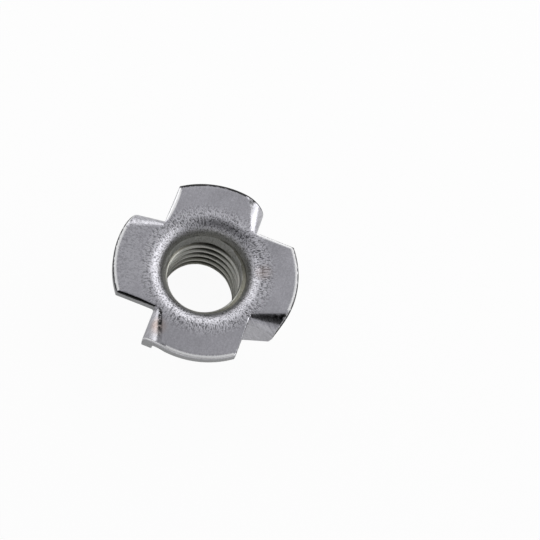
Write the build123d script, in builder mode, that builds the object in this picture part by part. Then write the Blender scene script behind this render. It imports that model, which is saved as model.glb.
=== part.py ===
"""A four-prong tee nut, M10 x 1.5, pressed and drawn from one piece of sheet steel.

The nut stands on the free end of its barrel. The origin is on the thread's axis at that end, +Z runs up the
barrel, and the flange's flat face is on top. All sizes are in millimetres.

The flange is a round disc with four notches. Each notch has a straight sheared edge on one side, square to the
fold on its other side, where the end of the next wing is bent down into a pointed prong.
"""
import math
import os

from build123d import *

# Overall
NUT_HEIGHT = 10.5
SHEET_THICKNESS = 1.3
EDGE_ROUND = 0.2

# Flange, with its notches
FLANGE_DIAMETER = 22.0
PRONG_COUNT = 4
SHEAR_OFFSET = 6.7
NOTCH_ROOT_RADIUS = 0.3

# Barrel and the drawn mouth above it
BARREL_DIAMETER = 12.0
BARREL_FILLET = 0.6
BARREL_TAPER_LENGTH = 1.3
BARREL_TAPER_DEPTH = 0.35
BARREL_END_ROUND = 0.3
MOUTH_RADIUS = 2.0

# Thread, cut in a plain bore of its minor diameter
THREAD_MAJOR_DIAMETER = 10.0
BORE_DIAMETER = 8.65
BORE_ENTRY_LENGTH = 0.9
BORE_EXIT_CHAMFER = 0.5

# Prongs: the fold is tight at the notch root and wide at the rim
PRONG_FACE_OFFSET = 4.0
PRONG_REACH = 8.1
PRONG_SHOULDER_REACH = 4.7
PRONG_SHOULDER_WIDTH = 3.35
PRONG_SIDE_LEAN = 0.55
FOLD_RADIUS_AT_ROOT = 1.0
FOLD_RADIUS_AT_RIM = 2.9
INNER_FOLD_RADIUS_AT_ROOT = 0.2

# Room left round the shapes that cut
CUT_MARGIN = 1.0

# Places that follow from the sizes above
FLANGE_RADIUS = FLANGE_DIAMETER / 2
BARREL_RADIUS = BARREL_DIAMETER / 2
BARREL_END_RADIUS = BARREL_RADIUS - BARREL_TAPER_DEPTH
BORE_RADIUS = BORE_DIAMETER / 2
THROAT_RADIUS = THREAD_MAJOR_DIAMETER / 2
MOUTH_EDGE_RADIUS = THROAT_RADIUS + MOUTH_RADIUS
UNDERSIDE_Z = NUT_HEIGHT - SHEET_THICKNESS
THROAT_Z = NUT_HEIGHT - MOUTH_RADIUS
BORE_TOP_Z = THROAT_Z - BORE_ENTRY_LENGTH
PRONG_BACK_OFFSET = PRONG_FACE_OFFSET - SHEET_THICKNESS
INNER_FOLD_RADIUS_AT_RIM = max(FOLD_RADIUS_AT_RIM - SHEET_THICKNESS, INNER_FOLD_RADIUS_AT_ROOT)
FLAT_START_OFFSET = PRONG_FACE_OFFSET - FOLD_RADIUS_AT_RIM - CUT_MARGIN
PRONG_TIP_Z = NUT_HEIGHT - PRONG_REACH
PRONG_SHOULDER_Z = NUT_HEIGHT - PRONG_SHOULDER_REACH
PRONG_SHOULDER_Y = SHEAR_OFFSET + PRONG_SHOULDER_WIDTH
PRONG_SIDE_TOP_Y = PRONG_SHOULDER_Y + PRONG_SIDE_LEAN


def fold_section(y, outer_radius, inner_radius):
    """Return the bent sheet's section across the fold, in the plane square to Y at the given place."""
    outer_centre_x = PRONG_FACE_OFFSET - outer_radius
    outer_centre_z = NUT_HEIGHT - outer_radius
    inner_centre_x = PRONG_BACK_OFFSET - inner_radius
    inner_centre_z = UNDERSIDE_Z - inner_radius
    with BuildSketch(Plane.XZ.offset(-y)) as section:
        with BuildLine():
            Polyline((FLAT_START_OFFSET, UNDERSIDE_Z), (FLAT_START_OFFSET, NUT_HEIGHT), (outer_centre_x, NUT_HEIGHT))
            CenterArc((outer_centre_x, outer_centre_z), outer_radius, 0, 90)
            Polyline(
                (PRONG_FACE_OFFSET, outer_centre_z),
                (PRONG_FACE_OFFSET, PRONG_TIP_Z),
                (PRONG_BACK_OFFSET, PRONG_TIP_Z),
                (PRONG_BACK_OFFSET, inner_centre_z),
            )
            CenterArc((inner_centre_x, inner_centre_z), inner_radius, 0, 90)
            Line((inner_centre_x, UNDERSIDE_Z), (FLAT_START_OFFSET, UNDERSIDE_Z))
        make_face()
    return section.sketch


def distance_from_axis(shape):
    """Return how far the shape's centre lies from the thread's axis."""
    centre = shape.center()
    return math.hypot(centre.X, centre.Y)


# The round blank, with the rim's upper edge rolled over by the punch
with BuildPart() as blank:
    with BuildSketch(Plane.XY.offset(PRONG_TIP_Z)):
        Circle(FLANGE_RADIUS)
    extrude(amount=PRONG_REACH)
    fillet(blank.edges().group_by(Axis.Z)[-1], EDGE_ROUND)

# One prong, from the flat of its wing over the fold to the point
with BuildPart() as prong:
    root_section = fold_section(SHEAR_OFFSET, FOLD_RADIUS_AT_ROOT, INNER_FOLD_RADIUS_AT_ROOT)
    rim_section = fold_section(FLANGE_RADIUS, FOLD_RADIUS_AT_RIM, INNER_FOLD_RADIUS_AT_RIM)
    loft([root_section, rim_section], ruled=True)
    with BuildSketch(Plane.YZ.offset(FLAT_START_OFFSET)):
        with BuildLine():
            Polyline(
                (SHEAR_OFFSET, NUT_HEIGHT),
                (SHEAR_OFFSET, PRONG_TIP_Z),
                (PRONG_SHOULDER_Y, PRONG_SHOULDER_Z),
                (PRONG_SIDE_TOP_Y, UNDERSIDE_Z),
                (FLANGE_RADIUS, UNDERSIDE_Z),
                (FLANGE_RADIUS, NUT_HEIGHT),
                close=True,
            )
        make_face()
    extrude(amount=PRONG_FACE_OFFSET - FLAT_START_OFFSET, mode=Mode.INTERSECT)
    add(blank.part, mode=Mode.INTERSECT)

# What one notch and the fold beside it take out of the flange
with BuildPart() as notch:
    with BuildSketch(Plane.XY.offset(UNDERSIDE_Z)):
        with Locations((FLAT_START_OFFSET, SHEAR_OFFSET)):
            Rectangle(FLANGE_DIAMETER, FLANGE_DIAMETER, align=(Align.MIN, Align.MIN))
    extrude(amount=SHEET_THICKNESS)

# What the punch rolls over along the upper corner of one sheared edge
with BuildPart() as edge_rounder:
    with BuildSketch(Plane.YZ.offset(PRONG_FACE_OFFSET + EDGE_ROUND)):
        with BuildLine():
            CenterArc((SHEAR_OFFSET - EDGE_ROUND, NUT_HEIGHT - EDGE_ROUND), EDGE_ROUND, 0, 90)
            Polyline(
                (SHEAR_OFFSET - EDGE_ROUND, NUT_HEIGHT),
                (SHEAR_OFFSET - EDGE_ROUND, NUT_HEIGHT + EDGE_ROUND),
                (SHEAR_OFFSET + EDGE_ROUND, NUT_HEIGHT + EDGE_ROUND),
                (SHEAR_OFFSET + EDGE_ROUND, NUT_HEIGHT - EDGE_ROUND),
                (SHEAR_OFFSET, NUT_HEIGHT - EDGE_ROUND),
            )
        make_face()
    extrude(amount=FLANGE_RADIUS)

# The mouth, the bore and its exit chamfer, as one turned hollow
with BuildPart() as hollow:
    with BuildSketch(Plane.XZ):
        with BuildLine():
            Polyline(
                (0, 0),
                (BORE_RADIUS + BORE_EXIT_CHAMFER, 0),
                (BORE_RADIUS, BORE_EXIT_CHAMFER),
                (BORE_RADIUS, BORE_TOP_Z),
                (THROAT_RADIUS, THROAT_Z),
            )
            CenterArc((MOUTH_EDGE_RADIUS, THROAT_Z), MOUTH_RADIUS, 90, 90)
            Polyline((MOUTH_EDGE_RADIUS, NUT_HEIGHT), (0, NUT_HEIGHT), (0, 0))
        make_face()
    revolve(axis=Axis.Z)

# The whole nut
with BuildPart() as tee_nut:
    with BuildSketch(Plane.XZ):
        with BuildLine():
            Polyline(
                (0, NUT_HEIGHT),
                (0, 0),
                (BARREL_END_RADIUS, 0),
                (BARREL_RADIUS, BARREL_TAPER_LENGTH),
                (BARREL_RADIUS, UNDERSIDE_Z - BARREL_FILLET),
            )
            CenterArc((BARREL_RADIUS + BARREL_FILLET, UNDERSIDE_Z - BARREL_FILLET), BARREL_FILLET, 90, 90)
            Polyline(
                (BARREL_RADIUS + BARREL_FILLET, UNDERSIDE_Z),
                (FLANGE_RADIUS, UNDERSIDE_Z),
                (FLANGE_RADIUS, NUT_HEIGHT - EDGE_ROUND),
            )
            CenterArc((FLANGE_RADIUS - EDGE_ROUND, NUT_HEIGHT - EDGE_ROUND), EDGE_ROUND, 0, 90)
            Line((FLANGE_RADIUS - EDGE_ROUND, NUT_HEIGHT), (0, NUT_HEIGHT))
        make_face()
    revolve(axis=Axis.Z)
    fillet(tee_nut.edges().group_by(Axis.Z)[0], BARREL_END_ROUND)
    with PolarLocations(0, PRONG_COUNT):
        add(notch.part, mode=Mode.SUBTRACT)
    with PolarLocations(0, PRONG_COUNT):
        add(prong.part)
    upright_edges = tee_nut.edges().filter_by(Axis.Z).filter_by_position(Axis.Z, UNDERSIDE_Z, NUT_HEIGHT)
    fillet(upright_edges.group_by(distance_from_axis)[0], NOTCH_ROOT_RADIUS)
    add(hollow.part, mode=Mode.SUBTRACT)
    with PolarLocations(0, PRONG_COUNT):
        add(edge_rounder.part, mode=Mode.SUBTRACT)

tee_nut.part.label = "tee_nut"
os.makedirs("parts", exist_ok=True)
export_step(tee_nut.part, "parts/tee_nut.step")
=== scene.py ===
"""Looks of a four-prong tee nut: its detailed skin, its plated finish, the light and the camera.

The nut is one pressing of sheet steel. Its skin is built here in millimetres as one closed surface, with
the thread, the drawn mouth, the rolled-over edges and the folds, and is scaled to metres at the end.
"""
import logging
import math
from dataclasses import dataclass, field
from enum import Enum
from typing import Sequence, TypeAlias

import bmesh
import bpy
import numpy as np
from mathutils import Matrix, Vector


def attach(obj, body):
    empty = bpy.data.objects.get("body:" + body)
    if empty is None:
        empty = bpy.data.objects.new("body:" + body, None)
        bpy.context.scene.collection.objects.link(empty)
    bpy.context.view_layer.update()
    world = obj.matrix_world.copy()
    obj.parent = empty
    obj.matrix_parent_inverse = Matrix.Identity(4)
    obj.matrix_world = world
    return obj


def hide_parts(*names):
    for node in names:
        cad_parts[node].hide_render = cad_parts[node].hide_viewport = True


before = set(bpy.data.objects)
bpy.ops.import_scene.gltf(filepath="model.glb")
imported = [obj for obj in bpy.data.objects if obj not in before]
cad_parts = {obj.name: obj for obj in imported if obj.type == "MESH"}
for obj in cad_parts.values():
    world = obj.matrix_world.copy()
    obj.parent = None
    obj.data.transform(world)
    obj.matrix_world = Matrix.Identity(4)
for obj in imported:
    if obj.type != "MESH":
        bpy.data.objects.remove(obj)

LOG = logging.getLogger("tee_nut")
METRES = 0.001

Point: TypeAlias = np.ndarray
Chain: TypeAlias = list[int]
Place: TypeAlias = tuple[float, float, float]
Colour: TypeAlias = tuple[float, float, float, float]
Rise: TypeAlias = tuple[float, float]
Settings: TypeAlias = dict[str, object]
SocketValue: TypeAlias = "Wire | float | tuple[float, ...] | None"


class Mask(Enum):
    """Names of the masks that the skin carries from its shape to its finish."""

    # Painted highlight of the edges' white line, partly a bright worn edge.
    EDGE = "edge"
    SHEARED = "sheared"
    # Painted shade and dark reflection of the edges' black line.
    SHADE = "shade"
    # Drawing marks; the finish also paints shade with this mask deeper down the mouth and bore.
    DRAWN = "drawn"
    # The threaded bore, which the finish darkens with painted shade.
    THREAD = "thread"
    # The thread's crests, which the finish lightens with a painted highlight.
    CREST = "crest"
    FOLD = "fold"
    # Painted shade and dark reflection at the fold's start.
    CREASE = "crease"


def point(x: float, y: float, z: float) -> Point:
    """Return one place in the nut's own frame, in millimetres."""
    return np.array((x, y, z), float)


def blend(start: Point | float, end: Point | float, share: float) -> Point | float:
    """Return the value that lies the given share of the way from start to end."""
    return start + (end - start) * share


def eased(step: float, steps: float, start: float = 0.0) -> float:
    """Return a share that rises evenly from start over the steps, and stays at 1 once it gets there."""
    return min(1.0, start + step / steps)


class Skin:
    """A closed surface under construction: welded vertices with masks, and faces."""

    WELD_DECIMALS = 4

    def __init__(self) -> None:
        """Start an empty surface."""
        self.points: list[Point] = []
        self.masks: dict[Mask, list[float]] = {mask: [] for mask in Mask}
        self.faces: list[tuple[int, ...]] = []
        self._places: dict[tuple[float, ...], int] = {}

    def vertex(self, place: Point, **masks: float) -> int:
        """Return the vertex at a place, made if there is none yet.

        Args:
            place: Where the vertex is, in millimetres.
            **masks: Values of the named masks there; the highest one given is kept.

        Returns:
            The vertex's number.
        """
        key = tuple(round(float(value), self.WELD_DECIMALS) + 0.0 for value in place)
        number = self._places.get(key)
        if number is None:
            number = self._places[key] = len(self.points)
            self.points.append(place)
            for values in self.masks.values():
                values.append(0.0)
        for name, value in masks.items():
            values = self.masks[Mask(name)]
            values[number] = max(values[number], value)
        return number

    def face(self, *corners: int) -> None:
        """Add a face, without corners that fell together.

        Args:
            *corners: The vertices round the face, in order.
        """
        kept = [c for i, c in enumerate(corners) if c != corners[i - 1]]
        if len(set(kept)) == len(kept) >= 3:
            self.faces.append(tuple(kept))

    def strip(self, first: Sequence[int], second: Sequence[int]) -> None:
        """Add the faces between two chains with as many vertices each."""
        for i in range(len(first) - 1):
            self.face(first[i], first[i + 1], second[i + 1], second[i])

    def cloth(self, chains: Sequence[Sequence[int]]) -> None:
        """Add the faces between each chain and the next one."""
        for first, second in zip(chains, chains[1:]):
            self.strip(first, second)

    def build(self, name: str) -> bpy.types.Object:
        """Turn the surface into an object in metres, with its masks as vertex attributes.

        Args:
            name: The object's name.

        Returns:
            The new object, linked to the scene.
        """
        mesh = bpy.data.meshes.new(name)
        mesh.from_pydata([tuple(p * METRES) for p in self.points], [], self.faces)
        for mask, values in self.masks.items():
            mesh.attributes.new(mask.value, "FLOAT", "POINT").data.foreach_set("value", values)
        work = bmesh.new()
        work.from_mesh(mesh)
        bmesh.ops.recalc_face_normals(work, faces=work.faces)
        open_edges = sum(1 for edge in work.edges if len(edge.link_faces) != 2)
        if work.calc_volume(signed=True) < 0:
            bmesh.ops.reverse_faces(work, faces=work.faces)
        work.to_mesh(mesh)
        work.free()
        mesh.update()
        counts = len(mesh.vertices), len(mesh.polygons), open_edges
        LOG.info("%s: %d vertices, %d faces, %d open edges", name, *counts)
        obj = bpy.data.objects.new(name, mesh)
        bpy.context.scene.collection.objects.link(obj)
        return obj


@dataclass(frozen=True)
class ThreadForm:
    """A right-hand internal metric thread, as a bore radius that changes with angle and height.

    Its sizes are in millimetres, and its flanks rise that much for each step along the axis.
    """

    major_radius: float = 5.0
    minor_radius: float = 4.325
    pitch: float = 1.5
    crest_width: float = 0.42
    flank_slope: float = math.tan(math.radians(60.0))

    def radius(self, angle: float, z: float) -> float:
        """Work out the bore's radius at one place.

        Args:
            angle: The angle about the axis, in radians.
            z: The height.

        Returns:
            The radius, from the crest's at the least to the root's at the most.
        """
        turn = z / self.pitch - angle / math.tau
        from_crest = abs(turn - round(turn)) * self.pitch
        depth = (from_crest - self.crest_width / 2) * self.flank_slope
        return self.minor_radius + min(max(depth, 0.0), self.major_radius - self.minor_radius)

    def crest(self, radius: float) -> float:
        """Return 1 at the radius of the thread's crest, falling to 0 at its root."""
        return min(max((self.major_radius - radius) / (self.major_radius - self.minor_radius), 0.0), 1.0)


@dataclass(frozen=True)
class DrawnBarrel:
    """The barrel with its thread, and the mouth that is drawn down into it, as one turned profile.

    Its sizes are in millimetres. The marks that the drawing left show fully from drawn_depth under the
    flange's face on, and faintly on the barrel's outside. In the finish the same mask also lays painted
    shade, in an olive colour, deeper down the mouth and bore, and faintly on the barrel's outside.
    """

    thread: ThreadForm = field(default_factory=ThreadForm)
    height: float = 10.5
    underside: float = 9.2
    mouth_radius: float = 2.0
    mouth_edge_radius: float = 7.0
    entry_length: float = 0.9
    exit_chamfer: float = 0.5
    outer_radius: float = 6.0
    fillet: float = 0.6
    taper_length: float = 1.3
    end_radius: float = 5.65
    end_round: float = 0.3
    entry_margin: float = 0.02
    drawn_depth: float = 0.35
    outside_marks: float = 0.15
    rows_per_turn: int = 20
    bore_rows: int = 113
    mouth_rows: int = 16
    end_rows: int = 6
    taper_rows: int = 3
    wall_rows: int = 7
    fillet_rows: int = 7

    @property
    def skirt_radius(self) -> float:
        """Return the radius at which the barrel's fillet meets the flange's underside."""
        return self.outer_radius + self.fillet

    def mouth(self) -> list[tuple[float, float]]:
        """Work out the mouth's quarter-round.

        Returns:
            Each row's radius and height, from the flange's face to the throat.
        """
        centre_z = self.height - self.mouth_radius
        turns = [math.pi / 2 * i / self.mouth_rows for i in range(self.mouth_rows + 1)]
        edge, bend = self.mouth_edge_radius, self.mouth_radius
        return [(edge - bend * math.sin(turn), centre_z + bend * math.cos(turn)) for turn in turns]

    def bore(self, angle: float) -> list[tuple[float, float, float]]:
        """Work out one meridian of the bore, from just below the throat to the free end.

        Args:
            angle: The meridian's angle about the axis, in radians, because the rows climb with the thread.

        Returns:
            Each row's radius and height, and 1 where the thread is cut or 0 in the smooth entry.
        """
        throat_z = self.height - self.mouth_radius
        minor, major = self.thread.minor_radius, self.thread.major_radius
        rows = []
        step = self.thread.pitch / self.rows_per_turn
        climb = step * (self.rows_per_turn * angle / math.tau % 1)
        for i in range(1, self.bore_rows + 1):
            z = throat_z - step * i + (climb if i > 1 else 0.0)
            if i == self.bore_rows:
                z = 0.0
            entry = major - (throat_z - z) * (major - minor) / self.entry_length
            chamfer = minor + self.exit_chamfer - z
            cut = self.thread.radius(angle, z)
            rows.append((max(entry, chamfer, cut), z, float(cut >= min(entry, major) - self.entry_margin)))
        return rows

    def join(self, skin: Skin, first: Chain, second: Chain, stepped: bool) -> None:
        """Add the faces between two meridians.

        Args:
            skin: The surface that takes the faces.
            first: The first meridian's vertices.
            second: The next meridian's vertices.
            stepped: Whether the bore's rows, which climb with the thread, start afresh between the two, so
                that each row meets the one above it.
        """
        if not stepped:
            skin.strip(first, second)
            return
        top = self.mouth_rows + 1
        foot = top + self.bore_rows - 2
        skin.strip(first[: top + 1], second[: top + 1])
        skin.face(first[top], first[top + 1], second[top])
        for i in range(top + 1, foot):
            skin.face(first[i], first[i + 1], second[i], second[i - 1])
        skin.face(first[foot], first[foot + 1], second[foot + 1], second[foot], second[foot - 1])
        skin.strip(first[foot + 1 :], second[foot + 1 :])

    def outside(self) -> list[tuple[float, float]]:
        """Work out the barrel's outside.

        Returns:
            Each row's radius and height, from the free end up to the flange's underside.
        """
        lean = math.atan2(self.outer_radius - self.end_radius, self.taper_length)
        reach = self.end_round / math.tan((math.pi / 2 + lean) / 2)
        centre = self.end_radius - reach
        bend = math.pi / 2 - lean
        rounds = [math.radians(-90) + bend * i / self.end_rows for i in range(self.end_rows + 1)]
        rows = [(centre + self.end_round * math.cos(a), self.end_round * (1 + math.sin(a))) for a in rounds]
        last_radius, last_z = rows[-1]
        for share in (i / self.taper_rows for i in range(1, self.taper_rows + 1)):
            radius = blend(last_radius, self.outer_radius, share)
            rows.append((radius, blend(last_z, self.taper_length, share)))
        top = self.underside - self.fillet
        for share in (i / self.wall_rows for i in range(1, self.wall_rows + 1)):
            rows.append((self.outer_radius, blend(self.taper_length, top, share)))
        for turn in (math.pi / 2 * i / self.fillet_rows for i in range(1, self.fillet_rows + 1)):
            radius = self.skirt_radius - self.fillet * math.cos(turn)
            rows.append((radius, top + self.fillet * math.sin(turn)))
        return rows

    def lay(self, skin: Skin, angle: float) -> Chain:
        """Lay one meridian of the barrel, from the flange's face through the bore to its underside.

        Args:
            skin: The surface that takes the vertices.
            angle: The meridian's angle about the axis, in radians.

        Returns:
            The vertices in order.
        """
        across, along = math.cos(angle), math.sin(angle)
        chain = []
        for radius, z in self.mouth():
            drawn = min(1.0, (self.height - z) / self.drawn_depth)
            chain.append(skin.vertex(point(radius * across, radius * along, z), drawn=drawn))
        for radius, z, threaded in self.bore(angle):
            place = point(radius * across, radius * along, z)
            crest = self.thread.crest(radius) * threaded
            chain.append(skin.vertex(place, thread=threaded, drawn=1.0, crest=crest))
        for radius, z in self.outside():
            chain.append(skin.vertex(point(radius * across, radius * along, z), drawn=self.outside_marks))
        return chain


@dataclass(frozen=True)
class EdgeRoundsAndPaintedLight:
    """How the press rounded one wing's sheared edge and round rim, and the light painted along them.

    The round is in millimetres. Shine is how white an edge's line is: a painted highlight that partly
    stands for a bright worn edge. Shade is how black the line beside it is, and the fold-start fields
    how dark the fold's start is at its root and at the rim; both are painted shade and dark reflection.
    For these 0 is none and 1 is full, and more than 1 makes it wider.
    """

    shear_round: float
    shear_shine: float
    shear_shade: float
    rim_shine: float
    rim_shade: float
    crease_at_root: float = 0.0
    crease_at_rim: float = 0.0


WING_EDGES_AND_PAINTED_LIGHT = (
    EdgeRoundsAndPaintedLight(
        shear_round=0.38, shear_shine=1.0, shear_shade=0.2, rim_shine=0.3, rim_shade=1.2,
        crease_at_rim=0.9,
    ),
    EdgeRoundsAndPaintedLight(
        shear_round=0.34, shear_shine=0.0, shear_shade=0.85, rim_shine=1.0, rim_shade=0.72,
        crease_at_root=0.1,
    ),
    EdgeRoundsAndPaintedLight(
        shear_round=0.11, shear_shine=0.0, shear_shade=0.7, rim_shine=1.0, rim_shade=0.3,
        crease_at_root=1.3, crease_at_rim=0.3,
    ),
    EdgeRoundsAndPaintedLight(
        shear_round=0.24, shear_shine=1.0, shear_shade=0.6, rim_shine=1.0, rim_shade=0.78,
        crease_at_root=0.2, crease_at_rim=1.0,
    ),
)


@dataclass(frozen=True)
class PressedWing:
    """One quarter of the flange with the prong that is folded down from its end.

    The wing lies towards +Y. Its prong's flat face looks towards +X, and its sheared edge is on the -X
    side. Its sizes are in millimetres, and what ends in rows, columns or steps counts those of the mesh.
    """

    height: float = 10.5
    thickness: float = 1.3
    rim_radius: float = 11.0
    shear_offset: float = 6.7
    face_offset: float = 4.0
    reach: float = 8.1
    shoulder_reach: float = 4.7
    shoulder_width: float = 3.35
    side_lean: float = 0.55
    fold_at_root: float = 1.0
    fold_at_rim: float = 2.9
    inner_fold_at_root: float = 0.2
    inner_fold_at_rim: float = 1.6
    edge_round: float = 0.25
    slit_round: float = 0.2
    prong_edge_round: float = 0.13
    burr_edge_round: float = 0.07
    back_round_share: float = 0.6
    tip_round_share: float = 0.35
    support: float = 0.5
    widest_support_share: float = 0.4
    sharpest_mitre: float = 0.5
    prong_columns: int = 14
    rim_columns: int = 34
    shear_columns: int = 12
    fold_rows: int = 10
    wall_rows: int = 15
    round_rows: int = 4
    corner_steps: int = 3
    tip_steps: int = 4
    end_steps: int = 5
    rim_steps: int = 40

    @property
    def underside(self) -> float:
        """Return the height of the flange's underside."""
        return self.height - self.thickness

    @property
    def back_offset(self) -> float:
        """Return how far the prong's back face lies from the axis."""
        return self.face_offset - self.thickness

    def fold_radius(self, y: float, inner: bool) -> float:
        """Work out the fold's radius, which widens from its root to the rim.

        Args:
            y: How far out the place is.
            inner: Whether this is the fold's inner side.

        Returns:
            The radius.
        """
        share = (y - self.shear_offset) / (self.rim_radius - self.shear_offset)
        if inner:
            return blend(self.inner_fold_at_root, self.inner_fold_at_rim, share)
        return blend(self.fold_at_root, self.fold_at_rim, share)

    def fold_place(self, y: float, turn: float, inner: bool) -> Point:
        """Work out one place on the fold.

        Args:
            y: How far out the place is.
            turn: The angle of bend there, in radians, from 0 on the flat to a quarter turn on the prong.
            inner: Whether this is the fold's inner side.

        Returns:
            The place.
        """
        radius = self.fold_radius(y, inner)
        face, top = (self.back_offset, self.underside) if inner else (self.face_offset, self.height)
        return point(face - radius * (1 - math.sin(turn)), y, top - radius * (1 - math.cos(turn)))

    def side_y(self, z: float) -> float:
        """Work out how far out the prong's leaning side edge is.

        Args:
            z: The height.

        Returns:
            The distance along Y.
        """
        shoulder_z = self.height - self.shoulder_reach
        lean = self.side_lean / (self.underside - shoulder_z)
        return self.shear_offset + self.shoulder_width + lean * (z - shoulder_z)

    def rim_y(self, turn: float, inner: bool) -> float:
        """Work out how far out the fold reaches, where the round rim cuts it.

        Args:
            turn: The angle of bend there, in radians.
            inner: Whether this is the fold's inner side, which ends at the prong's side edge.

        Returns:
            The distance along Y.
        """
        y = self.rim_radius
        for _ in range(self.rim_steps):
            x = self.fold_place(y, turn, inner)[0]
            y = math.sqrt(self.rim_radius**2 - x * x)
        if inner:
            side = min(y, self.side_y(self.fold_place(y, turn, inner)[2]))
            y = blend(y, side, turn / (math.pi / 2))
        return y

    def prong_end_z(self, share: float) -> float:
        """Work out where the prong's slanted end is.

        Args:
            share: The share of the prong's width, from 0 at the sheared edge to 1 at its side.

        Returns:
            The height.
        """
        shoulder_z = self.height - self.shoulder_reach
        tip_z = self.height - self.reach
        slope = (shoulder_z - tip_z) / self.shoulder_width
        lean = self.side_lean / (self.underside - shoulder_z)
        width_at_zero = self.shoulder_width - lean * shoulder_z
        return (tip_z + slope * share * width_at_zero) / (1 - slope * share * lean)

    def prong_column(self, share: float, inner: bool) -> list[Point]:
        """Work out one column of the prong's face or back: over the fold, then down to the slanted end.

        Args:
            share: The share of the prong's width, from 0 at the sheared edge to 1 at its side.
            inner: Whether this is the back.

        Returns:
            The places in order. The face has one more than the back, at the flange's underside.
        """
        turns = [math.pi / 2 * i / self.fold_rows for i in range(self.fold_rows + 1)]
        places = [
            self.fold_place(blend(self.shear_offset, self.rim_y(a, inner), share), a, inner) for a in turns
        ]
        x, _, top = places[-1]
        widest = self.rim_y(math.pi / 2, inner)
        end = self.prong_end_z(share)
        root_top = self.height - self.fold_at_root
        first = (root_top - self.underside) / (root_top - (self.height - self.reach))
        steps = [i / self.wall_rows for i in range(1, self.wall_rows + 1)]
        if not inner:
            steps = [first] + [blend(first, 1.0, step) for step in steps]
        for step in steps:
            z = blend(top, end, step)
            y = blend(self.shear_offset, min(widest, self.side_y(z)), share)
            places.append(point(x, y, z))
        return places

    def outline(self) -> list[tuple[float, float]]:
        """Work out the flat's outline after the fold, along the rim and then the sheared edge to its end.

        Returns:
            Each place's X and Y.
        """
        start = self.fold_place(self.rim_y(0.0, False), 0.0, False)
        first = math.atan2(start[1], start[0])
        corner_x, corner_y = -self.shear_offset, math.sqrt(self.rim_radius**2 - self.shear_offset**2)
        last = math.atan2(corner_y, corner_x)
        places = [
            (self.rim_radius * math.cos(a), self.rim_radius * math.sin(a))
            for a in (blend(first, last, i / self.rim_columns) for i in range(1, self.rim_columns))
        ]
        places.append((corner_x, corner_y))
        places += [
            (corner_x, blend(corner_y, self.face_offset, i / self.shear_columns))
            for i in range(1, self.shear_columns + 1)
        ]
        return places

    def slit(self, inner: bool) -> list[tuple[float, float]]:
        """Work out the last of the sheared edge, from the next prong's face to the root of its fold.

        Args:
            inner: Whether this is the sheet's underside.

        Returns:
            Each place's X and Y.
        """
        places = []
        for i in range(self.fold_rows - 1, -1, -1):
            turn = math.pi / 2 * i / self.fold_rows
            y = self.fold_place(self.shear_offset, turn, inner)[0]
            if inner:
                root = self.back_offset - self.inner_fold_at_root
                y = blend(root, self.face_offset, i / self.fold_rows)
            places.append((-self.shear_offset, y))
        return places


@dataclass
class Pair:
    """Two facing places on the sheet's boundary, one on each side, with what the edge there looks like.

    The rounds are in millimetres. Shine and shade are the outer edge's white and black lines: the white a
    painted highlight that partly stands for a bright worn edge, the black painted shade and dark
    reflection.
    Inward points from the boundary into the sheet.
    """

    outer: Point
    inner: Point
    outer_round: float
    inner_round: float
    shine: float = 0.0
    shade: float = 0.0
    inward: Point = field(default_factory=lambda: np.zeros(3))


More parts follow.
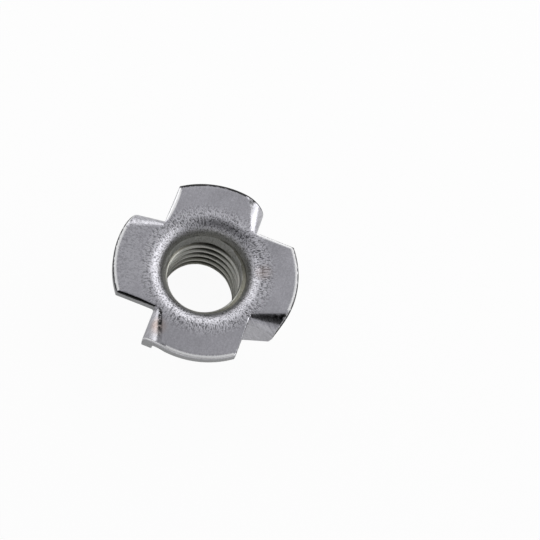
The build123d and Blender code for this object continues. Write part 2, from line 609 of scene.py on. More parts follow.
@dataclass
class TeeNut:
    """The whole nut: four pressed wings round one drawn barrel.

    What ends in rows, other than flat_rows, tells how strongly a mask shows on each row of a fold or edge.
    """

    barrel: DrawnBarrel = field(default_factory=DrawnBarrel)
    wing: PressedWing = field(default_factory=PressedWing)
    # Each wing's edge rounds, and the light painted along its edges.
    marks: tuple[EdgeRoundsAndPaintedLight, ...] = WING_EDGES_AND_PAINTED_LIGHT
    wing_count: int = 4
    node: str = "tee_nut"
    flat_rows: int = 3
    # How strongly each of the fold's first rows takes the painted shade and dark reflection at its start.
    crease_rows: tuple[float, ...] = (0.0, 0.9, 1.0, 0.5)
    # How strongly each row across an edge's rounding takes the painted highlight.
    shine_rows: tuple[float, ...] = (1.0, 1.0, 0.6, 0.2, 0.0)
    # How strongly each row across an edge's rounding takes the painted shade and dark reflection of the
    # black line.
    shade_rows: tuple[float, ...] = (0.6, 0.8, 1.0, 0.8, 0.3)
    sheared_rows: tuple[float, ...] = (0.0, 0.0, 0.0, 0.4, 0.9)
    # How much of the rim's painted highlight fades up the fold.
    fold_shine_loss: float = 0.4
    bent_below: float = 0.15
    sharp_angle: float = math.radians(38)

    def turned(self, place: Point, quarter: int) -> Point:
        """Turn a place about the axis.

        Args:
            place: A place on the first wing.
            quarter: By how many whole quarters it turns, anticlockwise.

        Returns:
            The turned place.
        """
        x, y, z = place
        for _ in range(quarter % self.wing_count):
            x, y = -y, x
        return point(x, y, z)

    def spread(self, start: Point, end: Point) -> list[Point]:
        """Work out the flat rows between the barrel's circle and the sheet's boundary.

        Args:
            start: The place on the barrel's circle.
            end: The place on the boundary.

        Returns:
            As many places as flat_rows, from the start on and without the end.
        """
        length = float(np.linalg.norm(end - start))
        support = 1 - min(self.wing.widest_support_share, self.wing.support / length)
        last = self.flat_rows - 1
        return [blend(start, end, support * i / last) for i in range(self.flat_rows)]

    def round_pairs(self, pairs: list[Pair]) -> None:
        """Work out the inward direction at each pair, with mitres at the corners.

        Args:
            pairs: The pairs along the boundary, in order.
        """
        for i, pair in enumerate(pairs):
            before = pairs[max(i - 1, 0)].outer
            after = pairs[min(i + 1, len(pairs) - 1)].outer
            arrive, leave = pair.outer - before, after - pair.outer
            arrive = arrive / (np.linalg.norm(arrive) or 1.0)
            leave = leave / (np.linalg.norm(leave) or 1.0)
            along = arrive + leave
            along = along / np.linalg.norm(along)
            through = pair.inner - pair.outer
            through = through / np.linalg.norm(through)
            inward = np.cross(along, through)
            inward = inward / np.linalg.norm(inward)
            bend = float(np.clip(arrive @ leave, -1, 1)) if arrive.any() and leave.any() else 1.0
            pair.inward = inward / max(self.wing.sharpest_mitre, math.sqrt((1 + bend) / 2))

    def rounded(self, pair: Pair, outer: bool) -> list[Point]:
        """Work out the rows of one rounded edge.

        Args:
            pair: The places it lies at.
            outer: Whether this is the outer edge.

        Returns:
            The places in order, from the sheet's face or back round to the edge's wall.
        """
        sharp, facing = (pair.outer, pair.inner) if outer else (pair.inner, pair.outer)
        size = pair.outer_round if outer else pair.inner_round
        through = (facing - sharp) / np.linalg.norm(facing - sharp)
        turns = [math.pi / 2 * i / self.wing.round_rows for i in range(self.wing.round_rows + 1)]
        return [
            sharp + pair.inward * size * (1 - math.sin(turn)) + through * size * (1 - math.cos(turn))
            for turn in turns
        ]

    def band(self, skin: Skin, pair: Pair, quarter: int) -> Chain:
        """Lay the rows across the sheet's thickness at one pair.

        Args:
            skin: The surface that takes the vertices.
            pair: The places it lies at.
            quarter: Which of the four wings they belong to.

        Returns:
            The vertices in order, from the face to the back.
        """
        middle = pair.outer + (pair.inner - pair.outer) * (self.wing.fold_at_root / self.wing.thickness)
        rows = zip(self.rounded(pair, True), self.shine_rows, self.shade_rows, self.sheared_rows)
        chain = []
        for place, shine, shade, sheared in rows:
            # The edge's painted highlight and painted shade, row by row, and how much of the sheared wall's
            # own grey shows.
            edge_masks = {"edge": pair.shine * shine, "shade": pair.shade * shade, "sheared": sheared}
            chain.append(skin.vertex(self.turned(place, quarter), **edge_masks))
        inner_rows = [skin.vertex(self.turned(p, quarter), sheared=1.0) for p in self.rounded(pair, False)]
        return chain + [skin.vertex(self.turned(middle, quarter), sheared=1.0)] + inner_rows[::-1]

    def lay_quarter(self, skin: Skin, quarter: int) -> tuple[list[Chain], list[float]]:
        """Lay one wing with its prong, and the rows of flange between it and the barrel.

        Args:
            skin: The surface that takes the vertices and faces.
            quarter: Which of the four wings, counted anticlockwise.

        Returns:
            The wing's meridians from the barrel's mouth circle to its skirt circle, and their angles.
        """
        wing, barrel = self.wing, self.barrel
        shares = [i / wing.prong_columns for i in range(wing.prong_columns + 1)]
        faces = [wing.prong_column(share, False) for share in shares]
        backs = [wing.prong_column(share, True) for share in shares]
        outline = wing.outline()
        flat_top = [point(x, y, wing.height) for x, y in outline]
        flat_under = [point(x, y, wing.underside) for x, y in outline]
        slit_top = [point(x, y, wing.height) for x, y in wing.slit(False)]
        slit_under = [point(x, y, wing.underside) for x, y in wing.slit(True)]

        pairs = self.boundary(self.marks[quarter], faces, backs, flat_top, flat_under)
        self.round_pairs(pairs)
        spandrel = self.spandrel(slit_top)
        self.lay_edges(skin, quarter, pairs, spandrel, faces, backs)
        self.inset_boundary(pairs, spandrel, faces, backs, flat_top, flat_under, slit_top)

        tops = [face[0] for face in faces] + flat_top + slit_top[:-1]
        unders = [back[0] for back in backs] + flat_under + slit_under[:-1]
        angles = [math.atan2(p[1], p[0]) for p in tops]
        top_chains, under_chains = [], []
        for i, (top, under, angle) in enumerate(zip(tops, unders, angles)):
            across, along = math.cos(angle), math.sin(angle)
            mouth = point(barrel.mouth_edge_radius * across, barrel.mouth_edge_radius * along, wing.height)
            skirt = point(barrel.skirt_radius * across, barrel.skirt_radius * along, wing.underside)
            on_fold = i < len(faces)
            top_places = self.spread(mouth, top) + (faces[i] if on_fold else [top])
            under_places = self.spread(skirt, under) + (backs[i] if on_fold else [under])
            top_chains.append(self.dress(skin, top_places, quarter, shares[i] if on_fold else None))
            under_chains.append(self.dress(skin, under_places, quarter, None))
        skin.cloth(top_chains[: len(faces)])
        skin.cloth(under_chains[: len(backs)])
        flat_rows = self.flat_rows + 1
        skin.cloth([chain[:flat_rows] for chain in top_chains[len(faces) - 1 :]])
        skin.cloth([chain[:flat_rows] for chain in under_chains[len(backs) - 1 :]])
        turned_angles = [angle + math.pi / 2 * quarter for angle in angles]
        ends = [top[:flat_rows] for top in top_chains], [under[:flat_rows] for under in under_chains]
        return list(zip(*ends)), turned_angles

    def dress(self, skin: Skin, places: list[Point], quarter: int, share: float | None) -> Chain:
        """Lay a chain of places on the sheet, with the fold's masks where it bends.

        Args:
            skin: The surface that takes the vertices.
            places: The places in order, from the barrel outwards.
            quarter: Which of the four wings they belong to.
            share: Where the chain crosses the prong's face, from 0 at its root to 1 at the rim, or None
                off the fold.

        Returns:
            The vertices in order.
        """
        marks = self.marks[quarter]
        chain = []
        for row, place in enumerate(places, -self.flat_rows):
            bent = crease = 0.0
            if share is not None:
                bent = float(self.wing.height - place[2] > self.bent_below)
                # Painted shade and dark reflection at the fold's start, strongest on its first rows.
                strength = self.crease_rows[row] if 0 <= row < len(self.crease_rows) else 0.0
                crease = strength * blend(marks.crease_at_root, marks.crease_at_rim, share)
            chain.append(skin.vertex(self.turned(place, quarter), fold=bent, crease=crease))
        return chain

    def boundary(
        self,
        marks: EdgeRoundsAndPaintedLight,
        faces: list[list[Point]],
        backs: list[list[Point]],
        flat_top: list[Point],
        flat_under: list[Point],
    ) -> list[Pair]:
        """Pair up the places along the wing's boundary, from the prong's root to the next notch's corner.

        Args:
            marks: How the press rounded this wing's edges, and the light painted along them.
            faces: The prong's columns on its face, from its sheared edge to its side.
            backs: The prong's columns on its back.
            flat_top: The flat's outline on its face, along the rim and the sheared edge.
            flat_under: The flat's outline on its underside.

        Returns:
            The pairs in order.
        """
        wing = self.wing
        back_share = wing.back_round_share
        first_wall = wing.fold_rows + 1
        pairs = []
        count = wing.wall_rows
        for i in range(count + 1):
            ramp = eased(i, wing.corner_steps) * eased(count - i, wing.tip_steps, wing.tip_round_share)
            size = wing.prong_edge_round * ramp
            outer, inner = faces[0][first_wall + i], backs[0][first_wall - 1 + i]
            pairs.append(Pair(outer, inner, size, size * back_share))
        for j in range(1, wing.prong_columns + 1):
            size = wing.prong_edge_round * eased(j, wing.end_steps, wing.tip_round_share)
            pairs.append(Pair(faces[j][-1], backs[j][-1], size, size * back_share))
        side_face, side_back = faces[-1], backs[-1]
        for i in range(count - 1, -1, -1):
            size = wing.prong_edge_round
            outer, inner = side_face[first_wall + i], side_back[first_wall - 1 + i]
            pairs.append(Pair(outer, inner, size, size * back_share))
        for i in range(wing.fold_rows, -1, -1):
            size = blend(wing.edge_round, wing.prong_edge_round, (i / wing.fold_rows) ** 2)
            shine = marks.rim_shine * (1 - self.fold_shine_loss * i / wing.fold_rows)
            burr = wing.burr_edge_round
            pairs.append(Pair(side_face[i], side_back[i], size, burr, shine, marks.rim_shade))
        corner = wing.rim_columns - 1
        for i, (top, under) in enumerate(zip(flat_top, flat_under)):
            left = len(flat_top) - 1 - i
            burr = wing.burr_edge_round * eased(left, wing.corner_steps)
            size, shine, shade = wing.edge_round, marks.rim_shine, marks.rim_shade
            if i > corner:
                start = blend(wing.edge_round, marks.shear_round, eased(i - corner, wing.corner_steps))
                size = blend(wing.slit_round, start, eased(left, wing.end_steps))
                shine, shade = marks.shear_shine, marks.shear_shade
            pairs.append(Pair(top, under, size, burr, shine, shade))
        return pairs

    def spandrel(self, slit_top: list[Point]) -> list[Pair]:
        """Pair up the sheared edge and the next prong's fold, which meet at the fold's root.

        Args:
            slit_top: The last of the sheared edge on the sheet's face.

        Returns:
            The pairs in order.
        """
        wing = self.wing
        pairs = []
        for i, top in enumerate(slit_top):
            turn = math.pi / 2 * (wing.fold_rows - 1 - i) / wing.fold_rows
            below = self.turned(wing.fold_place(wing.shear_offset, turn, False), 1)
            drop = top[2] - below[2]
            pairs.append(Pair(top, below, min(wing.slit_round, drop / 2), 0.0, inward=point(1, 0, 0)))
        return pairs

    def lay_edges(
        self,
        skin: Skin,
        quarter: int,
        pairs: list[Pair],
        spandrel: list[Pair],
        faces: list[list[Point]],
        backs: list[list[Point]],
    ) -> None:
        """Lay the band across the sheet's thickness, the slit's wall and the top of the prong's inner edge.

        Args:
            skin: The surface that takes the vertices and faces.
            quarter: Which of the four wings they belong to.
            pairs: The pairs along the boundary.
            spandrel: The pairs between the sheared edge and the next prong's fold.
            faces: The prong's columns on its face.
            backs: The prong's columns on its back.
        """
        bands = [self.band(skin, pair, quarter) for pair in pairs]
        skin.cloth(bands)
        for i in range(2, len(pairs)):
            if pairs[i].inner is pairs[i - 1].inner:
                skin.face(bands[i - 2][-1], bands[i - 1][-1], bands[i][-1])
        rows = self.wing.round_rows + 2
        slit = [bands[-1][:rows]]
        for pair in spandrel[:-1]:
            outer_rows = [skin.vertex(self.turned(p, quarter)) for p in self.rounded(pair, True)]
            slit.append(outer_rows + [skin.vertex(self.turned(pair.inner, quarter))])
        root = skin.vertex(self.turned(spandrel[-1].outer, quarter))
        slit.append([root] * rows)
        skin.cloth(slit)

        wing = self.wing
        top = faces[0][wing.fold_rows + 1]
        root_x = wing.back_offset - wing.inner_fold_at_root
        rungs = []
        for i in range(wing.fold_rows + 1):
            share = i / wing.fold_rows
            upper = point(blend(top[0], root_x, share), wing.shear_offset, wing.underside)
            lower = backs[0][wing.fold_rows - i]
            middle = upper + (lower - upper) * (wing.fold_at_root / wing.thickness)
            rungs.append([skin.vertex(self.turned(p, quarter)) for p in (upper, middle, lower)])
        skin.cloth(rungs)

    def inset_boundary(
        self,
        pairs: list[Pair],
        spandrel: list[Pair],
        faces: list[list[Point]],
        backs: list[list[Point]],
        flat_top: list[Point],
        flat_under: list[Point],
        slit_top: list[Point],
    ) -> None:
        """Draw the sheet's face and back in from the boundary by each edge's rounding, in place.

        Args:
            pairs: The pairs along the boundary.
            spandrel: The pairs between the sheared edge and the next prong's fold.
            faces: The prong's columns on its face.
            backs: The prong's columns on its back.
            flat_top: The flat's outline on its face.
            flat_under: The flat's outline on its underside.
            slit_top: The last of the sheared edge on the sheet's face.
        """
        moved: dict[int, Point] = {}
        for pair in [*pairs, *spandrel[:-1]]:
            moved[id(pair.outer)] = pair.outer + pair.inward * pair.outer_round
            moved[id(pair.inner)] = pair.inner + pair.inward * pair.inner_round
        for places in (*faces, *backs, flat_top, flat_under, slit_top):
            places[:] = [moved.get(id(place), place) for place in places]

    def build(self) -> bpy.types.Object:
        """Build the nut's skin as one closed, smooth-shaded object.

        Returns:
            The skin's object.
        """
        skin = Skin()
        columns, angles = [], []
        for quarter in range(self.wing_count):
            ends, turned_angles = self.lay_quarter(skin, quarter)
            columns += ends
            angles += turned_angles
        tops = [top for top, _ in columns]
        unders = [under for _, under in columns]
        per_quarter = len(columns) // self.wing_count
        for quarter in range(self.wing_count):
            last = (quarter + 1) * per_quarter - 1
            following = (last + 1) % len(columns)
            skin.strip(tops[last], tops[following])
            skin.strip(unders[last], unders[following])
        meridians = [self.barrel.lay(skin, angle) for angle in angles]
        turns = [math.floor(self.barrel.rows_per_turn * angle / math.tau) for angle in angles]
        for i, meridian in enumerate(meridians):
            following = (i + 1) % len(meridians)
            stepped = (turns[following] - turns[i]) % self.barrel.rows_per_turn != 0
            self.barrel.join(skin, meridian, meridians[following], stepped)
        nut = skin.build("tee_nut_skin")
        for polygon in nut.data.polygons:
            polygon.use_smooth = True
        nut.data.set_sharp_from_angle(angle=self.sharp_angle)
        return nut


class Wire:
    """One socket in a material's maths, with the usual operators."""

    def __init__(self, nodes: "Bench", socket: bpy.types.NodeSocket) -> None:
        """Wrap a socket of the given bench."""
        self.nodes = nodes
        self.socket = socket

    def _math(self, operation: str, *values: "Wire | float", clamp: bool = False) -> "Wire":
        """Return a Math node's result."""
        return self.nodes.add("ShaderNodeMath", {"operation": operation, "use_clamp": clamp}, *values)

    def __add__(self, other: "Wire | float") -> "Wire":
        """Return the sum."""
        return self._math("ADD", self, other)

    __radd__ = __add__

    def __sub__(self, other: "Wire | float") -> "Wire":
        """Return the difference."""
        return self._math("SUBTRACT", self, other)

    def __rsub__(self, other: float) -> "Wire":
        """Return the difference from a number."""
        return self._math("SUBTRACT", other, self)

    def __mul__(self, other: "Wire | float") -> "Wire":
        """Return the product."""
        return self._math("MULTIPLY", self, other)

    __rmul__ = __mul__

    def maximum(self, other: "Wire | float") -> "Wire":
        """Return the larger of two values."""
        return self._math("MAXIMUM", self, other)

    def clamped(self) -> "Wire":
        """Return the value kept between 0 and 1."""
        return self._math("ADD", self, 0.0, clamp=True)

    def scaled(self, gain: float, offset: float) -> "Wire":
        """Return the value times a gain, plus an offset."""
        return self * gain + offset

    def band(self, low: float, high: float) -> "Wire":
        """Return 0 below low, 1 above high and a smooth rise between."""
        smooth = {"interpolation_type": "SMOOTHSTEP", "clamp": True}
        return self.nodes.add("ShaderNodeMapRange", smooth, self, low, high, 0.0, 1.0)


@dataclass(frozen=True)
class Pattern:
    """One noise pattern: its scale over the place it is laid on, its detail and its roughness."""

    scale: float
    detail: float
    rough: float


class Bench:
    """A material's node tree under construction."""

    MIX_SOCKETS_BEFORE_COLOURS = 5
    MIX_COLOUR_OUTPUT = 2

    def __init__(self, tree: bpy.types.NodeTree) -> None:
        """Clear the tree and start on it."""
        tree.nodes.clear()
        self.tree = tree

    def node(
        self, kind: str, settings: Settings | None = None, *values: SocketValue, **named: SocketValue
    ) -> bpy.types.Node:
        """Make one node.

        Args:
            kind: The node's type.
            settings: What is set on the node before its sockets, such as an operation.
            *values: Values or wires for the sockets in order; None skips one.
            **named: Values or wires for sockets by name, with _ for a space.

        Returns:
            The node.
        """
        node = self.tree.nodes.new(kind)
        for name, value in (settings or {}).items():
            setattr(node, name, value)
        sockets = list(zip(node.inputs, values))
        sockets += [(node.inputs[name.replace("_", " ")], value) for name, value in named.items()]
        for socket, value in sockets:
            if isinstance(value, Wire):
                self.tree.links.new(value.socket, socket)
            elif value is not None:
                socket.default_value = value
        return node

    def add(
        self,
        kind: str,
        settings: Settings | None = None,
        *values: SocketValue,
        out: int | str = 0,
        **named: SocketValue,
    ) -> Wire:
        """Make one node, as node does, and return the output that out names or counts."""
        return Wire(self, self.node(kind, settings, *values, **named).outputs[out])

    def finish(self, shader: Wire, kind: str = "ShaderNodeOutputMaterial") -> None:
        """Link a shader to the tree's output."""
        self.node(kind, Surface=shader)

    def attribute(self, mask: Mask) -> Wire:
        """Return one of the skin's masks."""
        return self.add("ShaderNodeAttribute", {"attribute_name": mask.value}, out="Fac")

    def mix(self, share: Wire, first: Wire | Colour, second: Wire | Colour) -> Wire:
        """Return a mix of two colours."""
        values = (share, *[None] * self.MIX_SOCKETS_BEFORE_COLOURS, first, second)
        return self.add("ShaderNodeMix", {"data_type": "RGBA"}, *values, out=self.MIX_COLOUR_OUTPUT)

    def noise(self, vector: Wire, pattern: Pattern) -> Wire:
        """Return a pattern's value from 0 to 1 over a vector."""
        named = {"Scale": pattern.scale, "Detail": pattern.detail, "Roughness": pattern.rough}
        return self.add("ShaderNodeTexNoise", out="Fac", Vector=vector, **named)


@dataclass(frozen=True)
class Stain:
    """A faint brown patch in the plating: its centre and radius in metres, and its strength."""

    centre: Place
    radius: float
    strength: float
    core: float = 0.2


@dataclass(frozen=True)
class Weights:
    """How strongly the plate's patterns show in one property, such as its colour."""

    clouds: float
    grain: float
    streaks: float = 0.0


@dataclass(frozen=True)
class ZincPlatedSteel:
    """Bright zinc plate over drawn steel, with rolling streaks on the flats and marks from the drawing.

    It carries painted light as well: highlights on the edges and the thread's crests, black lines of
    painted shade and dark reflection along the edges and at the folds' start, and painted shade over the
    thread and down the mouth and bore.

    Each rise is the pair of values between which a mask goes from 0 to 1: a height, a reach from the axis
    or a place along X, in metres, or another mask's value. Each name with to in it is a gain and an
    offset.
    """

    base: Colour = (0.62, 0.615, 0.65, 1.0)
    dull: Colour = (0.13, 0.13, 0.14, 1.0)
    # Olive colour that the finish mixes in more strongly deeper down the mouth and bore: painted shade
    # there.
    drawn: Colour = (0.53, 0.535, 0.475, 1.0)
    # Near black for the threaded bore: painted shade, which the crests' painted highlight lightens again.
    groove_shade: Colour = (0.115, 0.112, 0.086, 1.0)
    # Pale colour for the thread's crests: a painted highlight.
    crest: Colour = (0.88, 0.88, 0.82, 1.0)
    # White for the edges' line: a painted highlight, partly a bright worn edge.
    edge: Colour = (0.97, 0.97, 0.97, 1.0)
    sheared: Colour = (0.34, 0.345, 0.335, 1.0)
    # Black for the lines along the edges and at the fold's start: painted shade and dark reflection.
    black: Colour = (0.03, 0.03, 0.03, 1.0)
    brown: Colour = (0.46, 0.34, 0.28, 1.0)
    stains: tuple[Stain, ...] = (
        Stain((0.0064, 0.0023, 0.0101), 0.0014, 0.6),
        Stain((-0.0028, -0.0087, 0.0103), 0.0014, 1.3),
    )

    streaks: Pattern = Pattern(1.0, 3.0, 0.6)
    streak_turn: float = 0.55
    streak_scale: Place = (5200.0, 900.0, 900.0)
    clouds: Pattern = Pattern(240.0, 4.0, 0.55)
    grain: Pattern = Pattern(5200.0, 2.0, 0.6)
    jags: Pattern = Pattern(2600.0, 3.0, 0.65)
    jag_rise: Rise = (0.36, 0.5)
    dashes: Pattern = Pattern(1.0, 2.0, 0.6)
    dashes_around: float = 44.0
    dashes_along: float = 3000.0
    dash_rise: Rise = (0.34, 0.66)

    left_wing_rise: Rise = (-0.0095, -0.0050)
    mouth_rise: Rise = (0.0068, 0.0086)
    face_rise: Rise = (0.0094, 0.0101)
    bore_rise: Rise = (0.0085, 0.0103)
    crest_rise: Rise = (0.6, 1.0)
    glint_rise: Rise = (0.4, 0.85)
    line_rise: Rise = (0.46, 0.7)
    crease_rise: Rise = (0.2, 0.9)

    worked_left_wing: float = 0.3
    worked_fold: float = 0.2
    calm_thread: float = 0.9
    bore_shade_strength: float = 0.65
    sheared_strength: float = 0.8
    grain_to_groove_shade: tuple[float, float] = (0.5, 0.65)
    grain_to_crest_highlight: tuple[float, float] = (0.8, 0.5)
    jags_to_line: tuple[float, float] = (0.22, 0.86)

    brightness: float = 0.84
    tone: Weights = Weights(clouds=0.5, grain=0.5, streaks=0.3)
    tone_dashes: float = 1.55
    roughness: float = 0.22
    rough: Weights = Weights(clouds=0.12, grain=0.1)
    rough_sheared: float = 0.15
    rough_edge: float = 0.08
    rough_drawn: float = 0.12
    rough_worked: float = 0.1
    relief: Weights = Weights(clouds=0.2, grain=0.12, streaks=0.06)
    relief_depth: float = 0.000017
    metal_lost_in_glint: float = 0.7

    def build(self) -> bpy.types.Material:
        """Build the finish.

        Returns:
            The material.
        """
        material = bpy.data.materials.new("zinc_steel_plate")
        material.use_nodes = True
        bench = Bench(material.node_tree)
        place = bench.add("ShaderNodeTexCoord", out="Object")
        around = bench.add("ShaderNodeVectorMath", {"operation": "MULTIPLY"}, place, (1.0, 1.0, 0.0))
        reach = bench.add("ShaderNodeVectorMath", {"operation": "LENGTH"}, around, out="Value")
        height = bench.add("ShaderNodeSeparateXYZ", {}, place, out="Z")
        left_wing = 1 - bench.add("ShaderNodeSeparateXYZ", {}, place, out="X").band(*self.left_wing_rise)
        dashes = self.drawing_marks(bench, around, reach + height)
        turn = (0.0, 0.0, self.streak_turn)
        rolled = bench.add("ShaderNodeMapping", {}, place, Rotation=turn, Scale=self.streak_scale)
        streaks = bench.noise(rolled, self.streaks)
        clouds = bench.noise(place, self.clouds)
        grain = bench.noise(place, self.grain)
        jags = bench.noise(place, self.jags).band(*self.jag_rise)
        edge, sheared, shade, drawn, thread, crest, bent, crease = (bench.attribute(mask) for mask in Mask)
        near_mouth = (1 - reach.band(*self.mouth_rise)).maximum(left_wing * self.worked_left_wing)
        near_mouth = near_mouth * height.band(*self.face_rise)
        worked = drawn.maximum(near_mouth) * (1 - thread * self.calm_thread)
        worked = worked.maximum(bent * self.worked_fold)
        # How far down the mouth and bore a place lies: it darkens the colour there as painted shade, and
        # makes it rougher.
        inside = drawn * (1 - height.band(*self.bore_rise))

        tone = (clouds - 0.5) * self.tone.clouds + (dashes - 0.5) * worked * self.tone_dashes
        tone = tone + (streaks - 0.5) * self.tone.streaks + (grain - 0.5) * self.tone.grain
        colour = bench.mix((tone + self.brightness).clamped(), self.dull, self.base)
        for stain in self.stains:
            measure = {"operation": "DISTANCE"}
            away = bench.add("ShaderNodeVectorMath", measure, place, stain.centre, out="Value")
            patch = (1 - away.band(stain.radius * stain.core, stain.radius)) * clouds * stain.strength
            colour = bench.mix(patch, colour, self.brown)
        # Painted shade: the olive colour, stronger deeper down the mouth and bore.
        colour = bench.mix(inside * self.bore_shade_strength, colour, self.drawn)
        # Painted shade over the threaded bore, uneven with the grain.
        thread_shade = thread * grain.scaled(*self.grain_to_groove_shade).clamped()
        colour = bench.mix(thread_shade, colour, self.groove_shade)
        # Painted highlight on the thread's crests, uneven with the grain.
        crest_highlight = crest.band(*self.crest_rise) * grain.scaled(*self.grain_to_crest_highlight)
        colour = bench.mix(crest_highlight, colour, self.crest)
        colour = bench.mix(sheared * self.sheared_strength, colour, self.sheared)
        # Painted highlight along the edges, partly a bright worn edge.
        glint = edge.band(*self.glint_rise)
        colour = bench.mix(glint, colour, self.edge)
        # Painted black lines along the edges and at the fold's start: painted shade and dark reflection,
        # with ragged borders.
        line = (shade * jags.scaled(*self.jags_to_line)).band(*self.line_rise)
        line = line.maximum(crease.band(*self.crease_rise) * jags)
        colour = bench.mix(line, colour, self.black)

        rough = (clouds - 0.5) * self.rough.clouds + (grain - 0.5) * self.rough.grain
        rough = (rough + sheared * self.rough_sheared + edge * self.rough_edge + self.roughness).clamped()
        rough = (rough + inside * self.rough_drawn + worked * self.rough_worked).clamped()
        relief = dashes * worked + streaks * self.relief.streaks
        relief = relief + grain * self.relief.grain + clouds * self.relief.clouds
        bump = bench.add(
            "ShaderNodeBump", {}, out="Normal", Strength=1.0, Distance=self.relief_depth, Height=relief
        )
        shader = bench.add(
            "ShaderNodeBsdfPrincipled",
            Base_Color=colour,
            # Where the highlight is painted the metal turns partly matte white, so that it stays bright
            # under any light.
            Metallic=1 - glint * self.metal_lost_in_glint,
            Roughness=rough,
            Normal=bump,
        )
        bench.finish(shader)
        return material

    def drawing_marks(self, bench: Bench, around: Wire, along: Wire) -> Wire:
        """Make the short drawing marks, which run towards the bore.

        Args:
            bench: The material's node tree.
            around: The place without its height, in metres.
            along: How far the place lies along the way into the bore, in metres.

        Returns:
            A value from 0 to 1.
        """
        heading = bench.add("ShaderNodeVectorMath", {"operation": "NORMALIZE"}, around)
        ring = (self.dashes_around, self.dashes_around, 0.0)
        heading = bench.add("ShaderNodeVectorMath", {"operation": "MULTIPLY"}, heading, ring)
        inward = bench.add("ShaderNodeCombineXYZ", {}, 0.0, 0.0, along * self.dashes_along)
        polar = bench.add("ShaderNodeVectorMath", {"operation": "ADD"}, heading, inward)
        return bench.noise(polar, self.dashes).band(*self.dash_rise)


@dataclass(frozen=True)
class SoftLight:
    """One square soft light: where it hangs and its side, in metres, and its power in watts."""

    name: str
    place: Place
    side: float
    watts: float


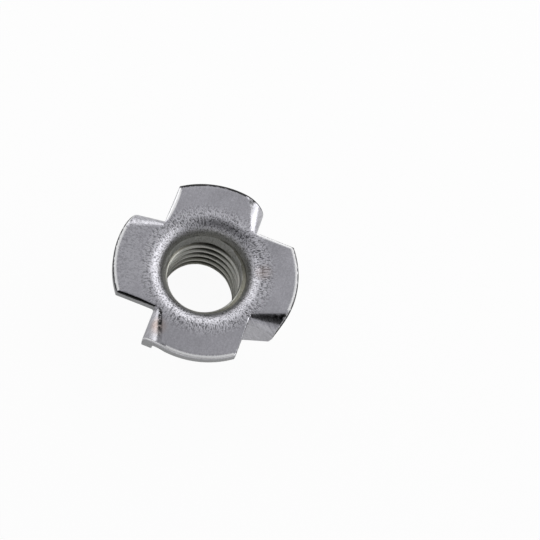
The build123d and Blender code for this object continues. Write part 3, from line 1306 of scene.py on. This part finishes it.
@dataclass(frozen=True)
class Studio:
    """The plain white floor, the soft lights, the dark card and the camera.

    The floor, the card and the lights are in metres. The camera is in millimetres: its three axes, how far
    it stands back from the flange and how far it is shifted across its view.
    """

    floor_size: float = 0.9
    floor_z: float = -0.00001
    floor_paint: Colour = (0.8, 0.8, 0.8, 1.0)
    white: Colour = (1.0, 1.0, 1.0, 1.0)
    white_to_camera: float = 0.95
    white_to_metal: float = 0.24
    surround: Colour = (0.97, 0.97, 1.0, 1.0)
    surround_strength: float = 0.5

    card_width: float = 0.20
    card_length: float = 0.24
    card_corners: int = 48
    card_sideways: float = 0.03
    card_distance: float = 0.17
    card_tilt: float = math.radians(30)
    card_paint: Colour = (0.02, 0.02, 0.02, 1.0)

    lights: tuple[SoftLight, ...] = (
        SoftLight("right", (0.26, 0.15, 0.17), 0.32, 0.52),
        SoftLight("back", (0.02, 0.32, 0.17), 0.28, 0.29),
        SoftLight("left", (-0.24, 0.12, 0.13), 0.28, 0.31),
        SoftLight("front", (0.02, -0.30, 0.05), 0.12, 0.025),
    )

    flange_height: float = 10.5
    distance: float = 132.0
    right: Place = (0.92925, 0.32075, 0.18336)
    up: Place = (-0.36640, 0.86391, 0.34559)
    toward: Place = (-0.04755, -0.38832, 0.92030)
    shift_right: float = 7.36
    shift_up: float = -0.13
    lens: float = 75.1
    sensor_width: float = 36.0
    clip_start: float = 0.005

    def floor(self) -> bpy.types.Object:
        """Lay the floor, white to the camera, with the nut's soft shadow on it.

        Returns:
            The floor.
        """
        mesh = bpy.data.meshes.new("floor")
        half = self.floor_size / 2
        corners = [(-half, -half), (half, -half), (half, half), (-half, half)]
        mesh.from_pydata([(x, y, self.floor_z) for x, y in corners], [], [(0, 1, 2, 3)])
        floor = bpy.data.objects.new("floor", mesh)
        bpy.context.scene.collection.objects.link(floor)
        material = bpy.data.materials.new("white_floor")
        material.use_nodes = True
        bench = Bench(material.node_tree)
        camera = bench.add("ShaderNodeLightPath", out="Is Camera Ray")
        glossy = bench.add("ShaderNodeLightPath", out="Is Glossy Ray")
        matte = bench.add("ShaderNodeBsdfDiffuse", Color=self.floor_paint)
        white = bench.add("ShaderNodeEmission", Color=self.white, Strength=1.0)
        seen = (camera * self.white_to_camera + glossy * self.white_to_metal).clamped()
        bench.finish(bench.add("ShaderNodeMixShader", {}, seen, matte, white))
        mesh.materials.append(material)
        return floor

    def world(self) -> None:
        """Set a plain grey surround, white where the camera looks at it."""
        world = bpy.data.worlds.new("studio")
        bpy.context.scene.world = world
        world.use_nodes = True
        bench = Bench(world.node_tree)
        camera = bench.add("ShaderNodeLightPath", out="Is Camera Ray")
        dim = bench.add("ShaderNodeBackground", Color=self.surround, Strength=self.surround_strength)
        white = bench.add("ShaderNodeBackground", Color=self.white, Strength=1.0)
        bench.finish(bench.add("ShaderNodeMixShader", {}, camera, dim, white), "ShaderNodeOutputWorld")

    def lamp(self, light: SoftLight) -> bpy.types.Object:
        """Hang one soft light that looks at the nut.

        Args:
            light: Which light, where it hangs, and its size and power.

        Returns:
            The light's object.
        """
        data = bpy.data.lights.new(light.name, "AREA")
        data.shape = "SQUARE"
        data.size = light.side
        data.energy = light.watts
        lamp = bpy.data.objects.new(light.name, data)
        lamp.location = light.place
        aim = Vector((0.0, 0.0, self.flange_height * METRES)) - Vector(light.place)
        lamp.rotation_euler = aim.to_track_quat("-Z", "Y").to_euler()
        bpy.context.scene.collection.objects.link(lamp)
        return lamp

    def dark_card(self) -> bpy.types.Object:
        """Hang the oval dark card behind the camera that draws the black lines into bright metal.

        Returns:
            The card, which the camera itself doesn't see.
        """
        mesh = bpy.data.meshes.new("dark_card")
        work = bmesh.new()
        oval = Matrix.Diagonal((self.card_width / 2, self.card_length / 2, 1.0, 1.0))
        bmesh.ops.create_circle(work, cap_ends=True, segments=self.card_corners, radius=1.0, matrix=oval)
        work.to_mesh(mesh)
        work.free()
        card = bpy.data.objects.new("dark_card", mesh)
        forward = -math.sin(self.card_tilt) * self.card_distance
        height = math.cos(self.card_tilt) * self.card_distance + self.flange_height * METRES
        card.location = (self.card_sideways, forward, height)
        card.rotation_euler = (self.card_tilt, 0.0, 0.0)
        card.visible_camera = False
        bpy.context.scene.collection.objects.link(card)
        material = bpy.data.materials.new("black_card")
        material.use_nodes = True
        bench = Bench(material.node_tree)
        bench.finish(bench.add("ShaderNodeBsdfDiffuse", Color=self.card_paint))
        mesh.materials.append(material)
        return card

    def camera(self) -> bpy.types.Object:
        """Place the camera at the photograph's angle.

        Returns:
            The camera's object.
        """
        data = bpy.data.cameras.new("camera")
        data.sensor_width = self.sensor_width
        data.lens = self.lens
        data.clip_start = self.clip_start
        camera = bpy.data.objects.new("camera", data)
        right, up, toward = (Vector(axis) for axis in (self.right, self.up, self.toward))
        centre = Vector((0.0, 0.0, self.flange_height))
        eye = (centre + toward * self.distance + right * self.shift_right + up * self.shift_up) * METRES
        camera.matrix_world = Matrix(
            [[right[i], up[i], toward[i], eye[i]] for i in range(3)] + [[0.0, 0.0, 0.0, 1.0]]
        )
        bpy.context.scene.collection.objects.link(camera)
        bpy.context.scene.camera = camera
        return camera


def main() -> None:
    """Build the nut, dress it and set the studio round it."""
    logging.basicConfig(level=logging.INFO, format="%(name)s: %(message)s")
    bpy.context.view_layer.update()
    nut = TeeNut().build()
    nut.data.materials.append(ZincPlatedSteel().build())
    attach(nut, "root")
    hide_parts(TeeNut.node)
    LOG.info("%s is plated and rides on root", nut.name)

    studio = Studio()
    floor = studio.floor()
    studio.dark_card()
    studio.world()
    for light in studio.lights:
        studio.lamp(light)
    studio.camera()
    LOG.info("floor, dark card, %d lights and camera are set", len(studio.lights))
    bpy.context.scene.view_settings.view_transform = "Standard"


if __name__ == "__main__":
    main()
